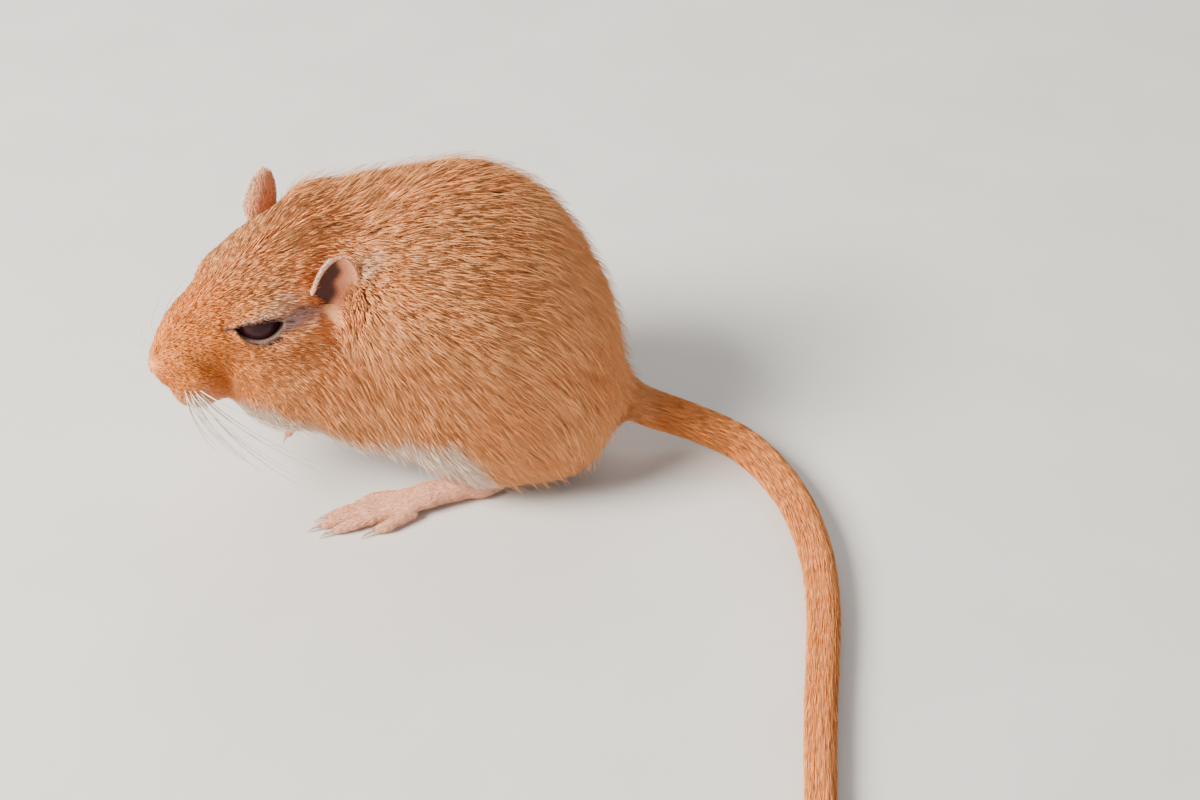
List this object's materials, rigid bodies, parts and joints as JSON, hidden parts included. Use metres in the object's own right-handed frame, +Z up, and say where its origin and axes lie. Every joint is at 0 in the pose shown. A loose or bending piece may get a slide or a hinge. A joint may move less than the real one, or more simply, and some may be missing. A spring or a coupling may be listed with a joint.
{
  "type": "gerbil",
  "caption": "Life-size still model of a golden gerbil, hunched on its hind feet with its forepaws tucked under the chest, head turned to its left and tail laid on the floor.",
  "frame": {"origin": "centre of the footprint's bounding box, on the floor", "axes": "+Z up; the trunk faces -X and the head is turned towards -Y, the animal's left, which is also where the tail runs"},
  "size_m": [0.1038, 0.1376, 0.0515],
  "materials": {
    "golden_coat": "short soft fur, golden with a cream belly",
    "pale_skin": "thinly furred pinkish skin",
    "claw_horn": "smooth brown horn",
    "dark_eye": "wet and glossy"
  },
  "bodies": {
    "root": {"arm_l": "golden_coat", "arm_r": "golden_coat", "claw_l_1": "claw_horn", "claw_l_2": "claw_horn", "claw_l_3": "claw_horn", "claw_l_4": "claw_horn", "claw_l_5": "claw_horn", "claw_r_1": "claw_horn", "claw_r_2": "claw_horn", "claw_r_3": "claw_horn", "claw_r_4": "claw_horn", "claw_r_5": "claw_horn", "ear_l": "pale_skin", "ear_r": "pale_skin", "eye_l": "dark_eye", "eye_r": "dark_eye", "foot_l": "pale_skin", "foot_r": "pale_skin", "hand_l": "pale_skin", "hand_r": "pale_skin", "haunch_l": "golden_coat", "haunch_r": "golden_coat", "head": "golden_coat", "nail_l_1": "claw_horn", "nail_l_2": "claw_horn", "nail_l_3": "claw_horn", "nail_l_4": "claw_horn", "nail_r_1": "claw_horn", "nail_r_2": "claw_horn", "nail_r_3": "claw_horn", "nail_r_4": "claw_horn", "neck": "golden_coat", "shoulder_l": "golden_coat", "shoulder_r": "golden_coat", "tail_1": "golden_coat", "tail_2": "golden_coat", "tail_3": "golden_coat", "tail_4": "golden_coat", "tail_5": "golden_coat", "tail_6": "golden_coat", "torso": "golden_coat"}
  },
  "joints": []
}
